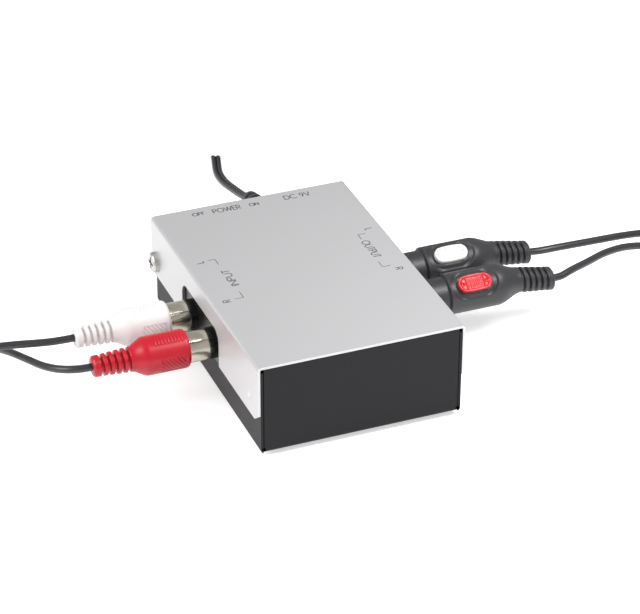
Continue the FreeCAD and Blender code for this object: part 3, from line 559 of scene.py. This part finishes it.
def turn_from(angle, middle):
    """How far angle is from middle, between minus and plus half a turn."""
    return (angle - middle + math.pi) % (2 * math.pi) - math.pi


def closed_mesh(name, mesh):
    """Turn a finished net of points into a smooth object."""
    bmesh.ops.recalc_face_normals(mesh, faces=mesh.faces)
    for face in mesh.faces:
        face.smooth = True
    data = bpy.data.meshes.new(name)
    mesh.to_mesh(data)
    mesh.free()
    return add_object(name, data)


def skin(name, stations, radius_at, bent=None, around=128):
    """A closed skin round the local X axis; radius_at(x, angle) gives its radius in millimetres.

    bent(x) gives the middle of the ring at x, for a skin whose axis isn't straight.
    """
    bent = bent or (lambda x: (x, 0.0, 0.0))
    mesh = bmesh.new()
    rings = []
    for x in stations:
        ring = []
        cx, cy, cz = bent(x)
        for k in range(around):
            a = 2 * math.pi * k / around
            r = radius_at(x, a)
            ring.append(mesh.verts.new((cx * mm, (cy + r * math.sin(a)) * mm, (cz + r * math.cos(a)) * mm)))
        rings.append(ring)
    for first, second in zip(rings, rings[1:]):
        for k in range(around):
            n = (k + 1) % around
            mesh.faces.new((first[k], first[n], second[n], second[k]))
    for ring, x in ((rings[0], stations[0]), (rings[-1], stations[-1])):
        middle = mesh.verts.new([v * mm for v in bent(x)])
        for k in range(around):
            mesh.faces.new((ring[k], ring[(k + 1) % around], middle))
    return closed_mesh(name, mesh)


def along(low, high, step):
    """Even places from low to high, about step apart."""
    count = max(1, round((high - low) / step))
    return [low + (high - low) * k / count for k in range(count + 1)]


def turned_radius(profile, x):
    """The radius of a turned outline at x, with rounded passages between its points."""
    for (x0, r0), (x1, r1) in zip(profile, profile[1:]):
        if x <= x1:
            return r0 + (r1 - r0) * smooth_step(x0, x1, x)
    return profile[-1][1]


# %% [markdown]
# ## The coloured input plugs
# On each side, the real grip has a hatched finger pad behind a raised rim, and between the pads a row of
# short cross ribs. The relief has five deep grooves that leave thin bridges, so the cord bends in a
# gentle arc. Angles on the skin are counted from the top, and each plug is rolled as it sits in its jack.

# %% Input grip shape
# Outlines are pairs of distance from the wall and radius. Spans, half widths, depths and pitches are
# millimetres on the skin.
input_side = 6.05
input_profile = [(8.7, 5.3), (9.1, 5.85), (9.7, input_side), (21.6, input_side), (26.9, 3.85),
                 (37.9, 3.35), (38.4, 2.9)]
largest_radius = 6.1
pad = {"from": 9.6, "to": 18.8, "half": 3.1, "corner": 1.4, "sunk": 0.22, "rim": 0.05,
       "hatch": 0.2, "hatch_pitch": 1.3, "hatch_slant": 0.8}
ribs = {"from": 10.4, "to": 19.8, "half": 1.7, "depth": 0.30, "pitch": 1.05, "raised": 0.02}
relief_grooves = 5
relief_collar = 0.6
groove_from, groove_to, groove_edge = 0.16, 0.44, 0.14
groove_depths = {"input": 1.15, "output": 1.2}


def relief_cut(kind, x):
    """How deep the strain relief's grooves are at x."""
    start, end = grip_necks[kind], grip_ends[kind]
    step = (end - start) / (relief_grooves + relief_collar)
    if x < start or x > start + step * relief_grooves:
        return 0.0
    phase = ((x - start) / step) % 1.0
    return groove_depths[kind] * band(phase, groove_from, groove_to, groove_edge)


def pad_outline(x, across, x0, x1, half, corner):
    """How far outside a rounded rectangle on the skin a point is; negative inside it."""
    dx = abs(x - (x0 + x1) / 2) - ((x1 - x0) / 2 - corner)
    dy = abs(across) - (half - corner)
    return math.hypot(max(dx, 0), max(dy, 0)) + min(max(dx, dy), 0) - corner


def input_grip_radius(x, angle):
    """The skin of an input grip: hatched pads on both sides, ribs above and below."""
    r = turned_radius(input_profile, x) - relief_cut("input", x)
    for side in (-1, 1):
        across = turn_from(angle, side * math.pi / 2) * input_side
        outside = pad_outline(x, across, pad["from"], pad["to"], pad["half"], pad["corner"])
        rim = 1 - smooth_step(0.25, 0.5, abs(outside + 0.3))
        inside = 1 - smooth_step(-0.55, -0.35, outside)
        hatch = crest(x + across * pad["hatch_slant"], pad["hatch_pitch"])
        r += pad["rim"] * rim - pad["sunk"] * inside + pad["hatch"] * inside * hatch
    for middle in (0.0, math.pi):
        across = turn_from(angle, middle) * input_side
        zone = band(across, -ribs["half"], ribs["half"], 0.35) * band(x, ribs["from"], ribs["to"], 0.2)
        if zone > 0:
            r += ribs["raised"] - ribs["depth"] * zone * (1 - crest(x - ribs["from"], ribs["pitch"]))
    return min(r, largest_radius)


def stations_through(places_and_steps):
    """Where the skin's rings stand: from each place to the next, as far apart as the step says."""
    made = [places_and_steps[0][0]]
    for (low, step), (high, _) in zip(places_and_steps, places_and_steps[1:]):
        made += along(low, high, step)[1:]
    return made


input_stations = stations_through([(8.7, 0.1), (9.7, 0.13), (20.2, 0.35), (26.9, 0.12), (38.4, 0)])

# %% [markdown]
# ## The black output plugs
# These grips are longer, with a narrower collar in front and an oval coloured marker let into one side.
# A dish with a steep edge and a fine groove lie around the marker, and the relief hangs down a little.
# The marker is its own hard moulding with five cross ribs and a dot at each end.

# %% Output grip shape
output_side = 6.6
output_collar = 5.75
output_profile = [(5.0, 5.3), (5.6, output_collar), (11.9, output_collar), (12.7, output_side),
                  (29.5, output_side), (37.8, 4.1), (49.1, 3.8), (49.6, 3.3)]
marker_middle = 21.0
marker_half = (5.5, 2.7)
dish = {"depth": 0.35, "deeper_at_ends": 0.55, "foot": 2.2, "top": 2.6}
marker_groove_depth = 0.25


def oval_outline(x, across):
    """How far outside the marker's oval a point is, with x counted from the oval's middle."""
    half_length, half_width = marker_half
    return pad_outline(x, across, -half_length, half_length, half_width, half_width)


def output_grip_radius(x, angle):
    """The skin of an output grip: a dish with a steep edge, and a groove round the marker."""
    r = turned_radius(output_profile, x) - relief_cut("output", x)
    off = x - marker_middle
    outside = oval_outline(off, turn_from(angle, 0.0) * output_side)
    depth = dish["depth"] + dish["deeper_at_ends"] * smooth_step(2.0, 5.5, abs(off))
    r -= depth * (1 - smooth_step(dish["foot"], dish["top"], outside))
    return r - marker_groove_depth * (1 - smooth_step(0.15, 0.4, abs(outside - 0.25)))


output_stations = stations_through([(5.0, 0.1), (5.8, 0.5), (11.8, 0.14), (31.0, 0.35), (37.8, 0.12),
                                    (49.6, 0)])


def output_bend(turn):
    """The middle line of an output grip that is rolled by turn and whose relief hangs down a little."""
    neck = grip_necks["output"]

    def middle(x):
        a = relief_sags["output"] * smooth_step(-2.0, 2.0, x - neck)
        past = max(0.0, x - neck)
        fall = past * math.sin(a)
        return min(x, neck) + past * math.cos(a), -fall * math.sin(turn), -fall * math.cos(turn)
    return middle


# %% Marker with ribs, rim and dots
marker_top = 6.85
marker_skirt = 5.4
marker_arch = 0.012
marker_floor_depth = 0.45
marker_ribs = {"height": 0.42, "pitch": 1.25, "half_row": 3.1}
marker_rim = {"height": 0.08, "width": 0.55}
marker_dots = {"depth": 0.4, "place": 4.1, "radius": 0.45}
marker_turns = 72
marker_steps = 16
side_speed = 2.2


def marker_height(x, across):
    """Height above the grip's axis of the oval marker, at a point in its plan."""
    inside = -oval_outline(x, across)
    floor = smooth_step(0.6, 0.8, inside)
    row = band(x, -marker_ribs["half_row"], marker_ribs["half_row"], 0.1) * floor
    height = marker_top - marker_arch * across * across - marker_floor_depth * floor
    height += marker_ribs["height"] * row * crest(x, marker_ribs["pitch"])
    height += marker_rim["height"] * band(inside, 0.0, marker_rim["width"], 0.15)
    for end in (-1, 1):
        off = math.hypot(x - end * marker_dots["place"], across)
        height -= marker_dots["depth"] * (1 - smooth_step(marker_dots["radius"], 0.65, off))
    return height


def marker_mesh(name):
    """The marker as a fine net over its oval plan, with a skirt that goes down into the grip."""
    mesh = bmesh.new()
    half_length, half_width = marker_half
    straight = half_length - half_width
    rows = []
    for s in range(marker_steps + 1):
        share = s / marker_steps
        row = []
        for k in range(marker_turns):
            a = 2 * math.pi * k / marker_turns
            px, py = math.cos(a), math.sin(a)
            # Where the cosine is small, the point moves along the oval's straight side.
            x = (math.copysign(straight, px) * min(1, abs(px) * side_speed) + half_width * px) * share
            y = half_width * py * share
            row.append(mesh.verts.new((x * mm, y * mm, marker_height(x, y) * mm)))
        rows.append(row)
    skirt = [mesh.verts.new((v.co.x, v.co.y, marker_skirt * mm)) for v in rows[-1]]
    for inner, outer in zip(rows, rows[1:] + [skirt]):
        for k in range(marker_turns):
            n = (k + 1) % marker_turns
            mesh.faces.new((inner[k], inner[n], outer[n], outer[k]))
    bmesh.ops.remove_doubles(mesh, verts=mesh.verts, dist=0.001 * mm)
    return closed_mesh(name, mesh)


# %% [markdown]
# ## Put the plugs in place
# The same grip is used eight times: four in the box's jacks and four at the far ends. Each is built
# once along the X axis and then turned, so that its local X runs from the jack towards the cord.


# %% Place the grips
def lead_transform(origin, direction, turn):
    """From a plug's own axes, X away from the jack, to the row frame; turn rolls it about X."""
    heading = math.atan2(direction[1], direction[0])
    return (Matrix.Translation(Vector(origin) * mm) @ Matrix.Rotation(heading, 4, "Z")
            @ Matrix.Rotation(turn, 4, "X"))


# Rolls are in degrees about the plug's own X axis.
rolls = {"white_input": -2, "red_input": -15, "white_output": 33, "red_output": 40}
plug_colours = {"white_input": white_pvc, "red_input": red_pvc, "white_output": black_pvc,
                "red_output": black_pvc}
markers = {"white_output": (white_abs, "white_plastic"), "red_output": (red_abs, "red_plastic")}


def place_plug(lead_name, end_name, origin, direction, turn):
    """One grip, and the marker of an output plug, on its lead's body."""
    base_name = lead_name + end_name
    place = lead_transform(origin, direction, turn)
    if lead_name.endswith("input"):
        grip = skin(base_name + "_grip_moulding", input_stations, input_grip_radius)
    else:
        bent = output_bend(turn) if end_name == "_plug" else None
        grip = skin(base_name + "_grip_moulding", output_stations, output_grip_radius, bent)
    grip.matrix_world = place
    paint(grip, plug_colours[lead_name])
    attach(grip, lead_name + "_lead")
    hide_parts(base_name + "_grip")
    if lead_name not in markers:
        return [grip]
    marker = marker_mesh(base_name + "_marker")
    marker.matrix_world = place @ Matrix.Translation((marker_middle * mm, 0, 0))
    material, slot_name = markers[lead_name]
    paint(marker, material)
    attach(marker, lead_name + "_lead")
    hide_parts(base_name + "_insert")
    return [grip, marker]


for lead_name in signal_routes:
    sign = -1 if lead_name.endswith("input") else 1
    near_origin = (sign * wall_face, jack_rows[lead_name], jack_height)
    near = place_plug(lead_name, "_plug", near_origin, (sign, 0), math.radians(rolls[lead_name]))
    tip, out = far_places[lead_name]
    kind = lead_name.split("_")[1]
    far_origin = tip + out * grip_ends[kind]
    far = place_plug(lead_name, "_far_plug", far_origin, (-out.x, -out.y), 0.0)

paint(nodes["power_plug_grip"], black_pvc)

# %% [markdown]
# ## Printed words
# The lid carries small grey screen-printed words that say what each jack and switch does. A font file
# would bring its own heavy look; the real letters are thin, round and drawn with one even line. So each
# letter is a few strokes of a flat pen, in a small table of points on a square of height one.


# %% A one-stroke alphabet
def arc(cx, cy, rx, ry, start, end, steps=14):
    """Points on part of an oval, from one angle to another in degrees."""
    return [(cx + rx * math.cos(math.radians(start + (end - start) * k / steps)),
             cy + ry * math.sin(math.radians(start + (end - start) * k / steps)))
            for k in range(steps + 1)]


bowl = [(0.0, 1.0), (0.28, 1.0)] + arc(0.28, 0.74, 0.26, 0.26, 90, -90) + [(0.0, 0.48)]
letters = {
    "O": (1.0, [arc(0.5, 0.5, 0.5, 0.5, 0, 360, 28)]),
    "F": (0.48, [[(0.48, 1), (0, 1), (0, 0)], [(0, 0.52), (0.42, 0.52)]]),
    "P": (0.55, [bowl, [(0, 1), (0, 0)]]),
    "W": (1.15, [[(0, 1), (0.28, 0), (0.575, 1), (0.87, 0), (1.15, 1)]]),
    "E": (0.48, [[(0.48, 1), (0, 1), (0, 0), (0.48, 0)], [(0, 0.52), (0.44, 0.52)]]),
    "R": (0.56, [bowl, [(0, 1), (0, 0)], [(0.2, 0.48), (0.56, 0)]]),
    "N": (0.72, [[(0, 0), (0, 1), (0.72, 0), (0.72, 1)]]),
    "D": (0.72, [[(0, 0), (0, 1), (0.22, 1)] + arc(0.22, 0.5, 0.5, 0.5, 90, -90) + [(0, 0)]]),
    "C": (0.86, [arc(0.5, 0.5, 0.5, 0.5, 48, 312, 22)]),
    "9": (0.56, [arc(0.28, 0.7, 0.28, 0.28, 0, 360, 20), [(0.54, 0.6), (0.2, 0.0)]]),
    "V": (0.72, [[(0, 1), (0.36, 0), (0.72, 1)]]),
    "L": (0.42, [[(0, 1), (0, 0), (0.42, 0)]]),
    "I": (0.0, [[(0, 1), (0, 0)]]),
    "U": (0.64, [[(0, 1), (0, 0.32)] + arc(0.32, 0.32, 0.32, 0.32, 180, 360) + [(0.64, 1)]]),
    "T": (0.5, [[(0, 1), (0.5, 1)], [(0.25, 1), (0.25, 0)]]),
    " ": (0.25, []),
}
letter_gap = 0.17


def word_strokes(text, height, width, middle, direction):
    """Strokes in row-frame millimetres for a word centred at middle and read along direction."""
    x = 0.0
    found = []
    for letter in text:
        advance, strokes = letters[letter]
        found += [[(px + x, py) for px, py in stroke] for stroke in strokes]
        x += advance + letter_gap
    length = x - letter_gap
    stretch = (width / length) if width else height
    ux, uy = direction
    placed = []
    for stroke in found:
        placed.append([])
        for px, py in stroke:
            a = (px - length / 2) * stretch
            b = (py - 0.5) * height
            placed[-1].append((middle[0] + a * ux - b * uy, middle[1] + a * uy + b * ux))
    return placed


# %% The words and the corner marks
# Each word has its height, its width (0 for the letters' own), its middle and the way it reads.
lid_top = 31.5
towards_right = (1, 0)
towards_back = (0, 1)
towards_front = (0, -1)
words = [
    ("OFF", 1.75, 3.9, (-18.3, 44.2), towards_right), ("POWER", 2.5, 9.1, (-8.9, 44.0), towards_right),
    ("ON", 1.75, 3.0, (0.3, 43.8), towards_right), ("DC 9V", 2.5, 8.6, (15.1, 44.1), towards_right),
    ("L", 2.3, 0, (-28.1, 15.3), towards_back), ("INPUT", 2.4, 9.6, (-22.6, 3.4), towards_back),
    ("R", 2.3, 0, (-28.3, -9.2), towards_back), ("L", 2.3, 0, (28.3, 15.7), towards_front),
    ("OUTPUT", 2.4, 10.6, (24.2, 4.0), towards_front), ("R", 2.3, 0, (27.7, -10.1), towards_front),
]
corner_marks = [
    [(-25.5, 15.6), (-23.1, 15.6), (-23.1, 12.2)], [(-25.5, -8.9), (-22.8, -8.9), (-22.8, -5.3)],
    [(26.2, 13.6), (23.7, 13.6), (23.7, 10.7)], [(26.0, -7.4), (23.3, -7.4), (23.3, -4.0)],
]
pen_radius = 0.17
corner_pen_radius = 0.12
pen_flatness = 0.1
corner_share = 0.08


def with_full_corners(stroke):
    """Points close to both ends of each run, so that a sharp corner doesn't thin the whole run."""
    points = [stroke[0]]
    for (x0, y0), (x1, y1) in zip(stroke, stroke[1:]):
        for share in (corner_share, 1 - corner_share, 1.0):
            points.append((x0 + (x1 - x0) * share, y0 + (y1 - y0) * share))
    return points


def flat_pen(name, strokes, radius):
    """Flat printed lines: thin round strokes pressed almost level with the lid."""
    data = bpy.data.curves.new(name, "CURVE")
    data.dimensions = "3D"
    for stroke in map(with_full_corners, strokes):
        spline = data.splines.new("POLY")
        spline.points.add(len(stroke) - 1)
        for control, (x, y) in zip(spline.points, stroke):
            control.co = (x * mm, y * mm, 0, 1)
    data.bevel_depth = radius * mm
    data.bevel_resolution = 2
    data.use_fill_caps = True
    piece = add_object(name, data)
    pressed = Matrix.Diagonal((1, 1, pen_flatness, 1))
    piece.matrix_world = Matrix.Translation((0, 0, lid_top * mm)) @ pressed
    return piece


def screen_ink():
    """Thin grey ink, slightly patchy as it comes through a screen."""
    material, tree, shader = surface("grey_screen_print_ink", "#4A4B4E", 0.6)
    patchy = grain(tree, 0.4, 2.0)
    tint_range(tree, shader, patchy, "#434447", "#58595C")
    return material


ink = screen_ink()
word_lines = [stroke for word in words for stroke in word_strokes(*word)]
for name, strokes, radius in (("printed_words", word_lines, pen_radius),
                              ("printed_corner_marks", corner_marks, corner_pen_radius)):
    printed = flat_pen(name, strokes, radius)
    paint(printed, ink)
    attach(printed, "case")
print("printed strokes:", len(word_lines) + len(corner_marks))

# %% [markdown]
# ## Floor and backdrop
# The picture is a cut-out on pure white. The floor keeps a soft shadow, so it stays a real surface, with
# just enough of its own white for the camera to wash out all but the shadow. A low white card stands
# where the power lead leaves the picture, and can be seen from its front only.


# %% Floor material and floor
white = (1, 1, 1, 1)
floor_own_light = 0.55
floor_half = 3000


def empty_material(name):
    """A material without nodes, and its tree."""
    material = bpy.data.materials.new(name)
    material.use_nodes = True
    material.node_tree.nodes.clear()
    return material, material.node_tree


def show(tree, result):
    """Make result the surface of the material."""
    output = add_node(tree, "ShaderNodeOutputMaterial")
    tree.links.new(result.outputs[0], output.inputs["Surface"])


def floor_paper(name, own_light):
    """White paper, with some light of its own for the camera and in mirrors."""
    material, tree = empty_material(name)
    path = add_node(tree, "ShaderNodeLightPath")
    seen = path.outputs["Is Camera Ray"]
    for other in ("Is Glossy Ray", "Is Transmission Ray"):
        seen = add_node(tree, "ShaderNodeMath", {"operation": "MAXIMUM"},
                        {0: seen, 1: path.outputs[other]}).outputs[0]
    paper = add_node(tree, "ShaderNodeBsdfDiffuse", {}, {"Color": linear("#F2F2F2")})
    glow = add_node(tree, "ShaderNodeEmission", {}, {"Color": white, "Strength": own_light})
    both = add_node(tree, "ShaderNodeAddShader", {}, {0: paper.outputs[0], 1: glow.outputs[0]})
    show(tree, add_node(tree, "ShaderNodeMixShader", {}, {0: seen, 1: paper.outputs[0], 2: both.outputs[0]}))
    return material


def flat_panel(name, corners, material):
    """A flat panel of the stage, with its corners in millimetres."""
    data = bpy.data.meshes.new(name)
    data.from_pydata([Vector(c) * mm for c in corners], [], [range(len(corners))])
    panel = add_object(name, data)
    panel.data.materials.append(material)
    return panel


floor_corners = [(x * floor_half, y * floor_half, 0) for x, y in ((-1, -1), (1, -1), (1, 1), (-1, 1))]
flat_panel("floor", floor_corners, floor_paper("white_paper_floor", floor_own_light))
print("floor %.0f m across" % (2 * floor_half * mm))

# %% The low card where the power lead leaves the picture
card_middle = Vector((16.0, 132.4, 0))
card_along = Vector((0.932, -0.363, 0))
card_up = Vector((0, 0, 60.0))
card_ends = (-12.0, 116.0)


def card_white(name):
    """Plain white from the front and clear from behind."""
    material, tree = empty_material(name)
    clear = add_node(tree, "ShaderNodeBsdfTransparent")
    solid = add_node(tree, "ShaderNodeEmission", {}, {"Color": white, "Strength": 1.0})
    side = add_node(tree, "ShaderNodeNewGeometry")
    show(tree, add_node(tree, "ShaderNodeMixShader", {}, {0: side.outputs["Backfacing"],
                                                          1: solid.outputs[0], 2: clear.outputs[0]}))
    return material


card_left, card_right = (card_middle + card_along * run for run in card_ends)
card_corners = [card_left, card_right, card_right + card_up, card_left + card_up]
card = flat_panel("white_card", card_corners, card_white("white_card_from_the_front"))
card.visible_diffuse = False
card.visible_glossy = False
card.visible_shadow = False
card.visible_transmission = False
print("card %.0f mm long" % (card_right - card_left).length)

# %% [markdown]
# ## Light
# Soft light from all round keeps the black parts readable. A small lamp stands close above the front
# right corner, so the lid gets paler towards it, as on the real surface, and a soft box on the left
# lights the side flange. A black strip above the front, which only mirror-like surfaces see, gives the
# nickel shells their dark line.


# %% World and lamps
def world_light(strength):
    """Even light from all round, while the camera sees plain white."""
    world = bpy.data.worlds.new("studio")
    bpy.context.scene.world = world
    world.use_nodes = True
    tree = world.node_tree
    tree.nodes.clear()
    path = add_node(tree, "ShaderNodeLightPath")
    seen = add_node(tree, "ShaderNodeMath", {"operation": "MAXIMUM"},
                    {0: path.outputs["Is Camera Ray"], 1: path.outputs["Is Transmission Ray"]})
    plain = add_node(tree, "ShaderNodeBackground", {}, {"Color": white, "Strength": 1.0})
    soft = add_node(tree, "ShaderNodeBackground", {}, {"Color": white, "Strength": strength})
    mix = add_node(tree, "ShaderNodeMixShader", {}, {0: seen.outputs[0], 1: soft.outputs[0],
                                                     2: plain.outputs[0]})
    output = add_node(tree, "ShaderNodeOutputWorld")
    tree.links.new(mix.outputs[0], output.inputs["Surface"])


def soft_box(name, place, target, size, power):
    """A square area lamp at place, aimed at target, in metres and watts."""
    lamp = bpy.data.lights.new(name, "AREA")
    lamp.shape = "RECTANGLE"
    lamp.size, lamp.size_y = size
    lamp.energy = power
    holder = add_object(name, lamp)
    holder.location = place
    holder.rotation_mode = "QUATERNION"
    holder.rotation_quaternion = (Vector(target) - Vector(place)).to_track_quat("-Z", "Y")
    holder.visible_camera = False
    print("%s: %.2f W" % (name, power))


world_light(0.45)
soft_box("near_front_right_box", (0.12, -0.11, 0.25), (0.03, -0.04, 0.03), (0.12, 0.12), 0.72)
soft_box("left_box", (-0.75, 0.05, 0.45), (0, 0, 0), (0.5, 0.5), 5.5)

# %% Black strip for the nickel
strip_left, strip_right = -500, 900
strip_low, strip_high = (-430, 480), (-330, 640)
strip_black, _, _ = surface("black_strip", "#000000", 0.5)
strip_corners = [(strip_left, *strip_low), (strip_right, *strip_low), (strip_right, *strip_high),
                 (strip_left, *strip_high)]
strip = flat_panel("black_strip", strip_corners, strip_black)
strip.visible_camera = False
strip.visible_diffuse = False
strip.visible_shadow = False
print("strip %.0f mm long" % (strip_right - strip_left))
